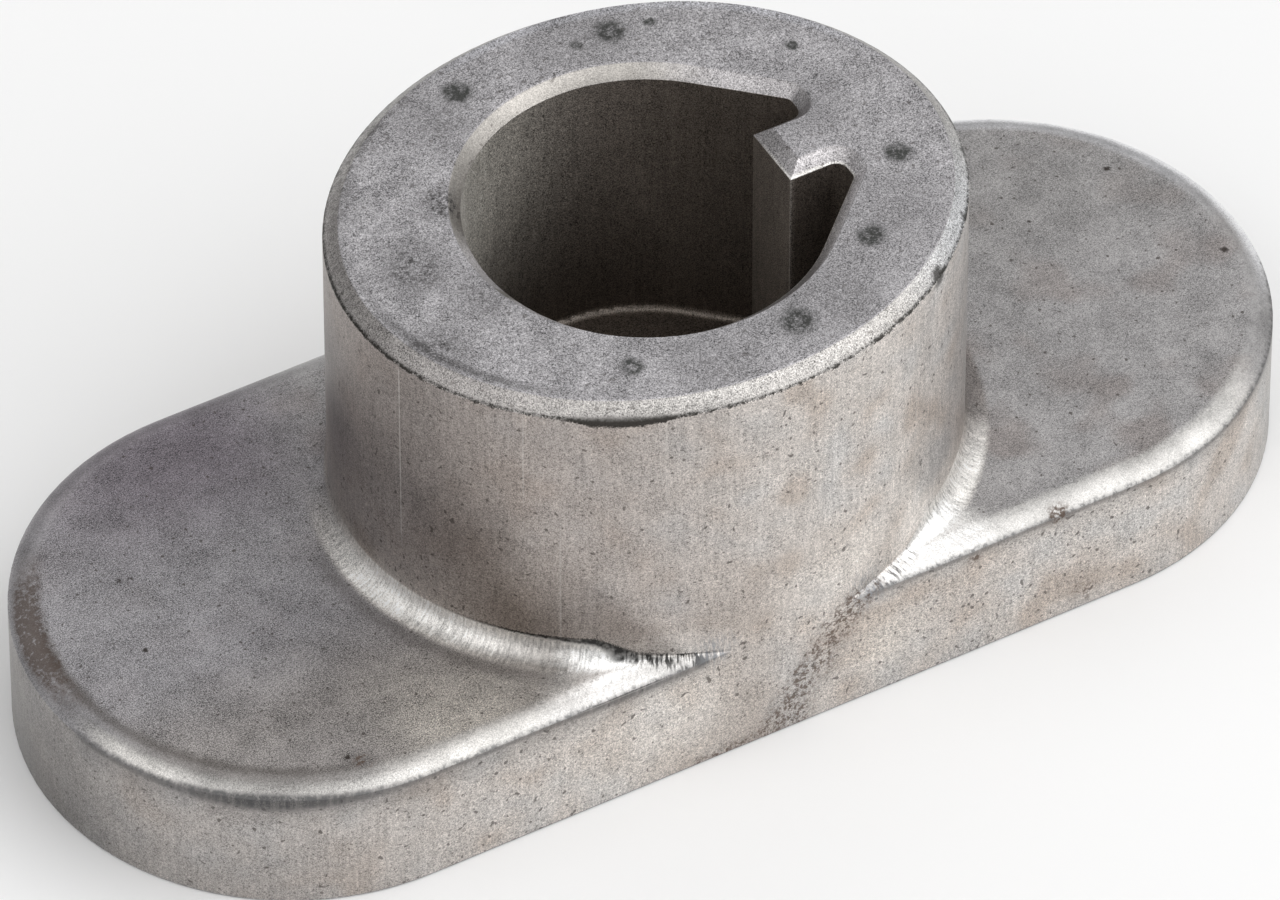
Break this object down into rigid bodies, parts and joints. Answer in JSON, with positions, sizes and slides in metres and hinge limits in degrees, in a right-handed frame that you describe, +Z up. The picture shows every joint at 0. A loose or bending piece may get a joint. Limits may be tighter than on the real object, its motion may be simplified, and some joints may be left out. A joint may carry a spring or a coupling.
{
  "type": "mower blade adapter",
  "caption": "Sintered steel mower blade adapter: a flat bar flange with half-round ends and an oval boss with a keyed bore that carries the blade on the engine shaft.",
  "frame": {"origin": "centre of the flat underside, on the bore axis", "axes": "+Z up along the bore out of its mouth, +X along the flange towards the key"},
  "size_m": [0.0836, 0.035, 0.0302],
  "materials": {
    "sintered_steel": "bare satin grey sintered steel with fine dark pores"
  },
  "bodies": {
    "root": {"adapter_body": "sintered_steel"}
  },
  "joints": []
}
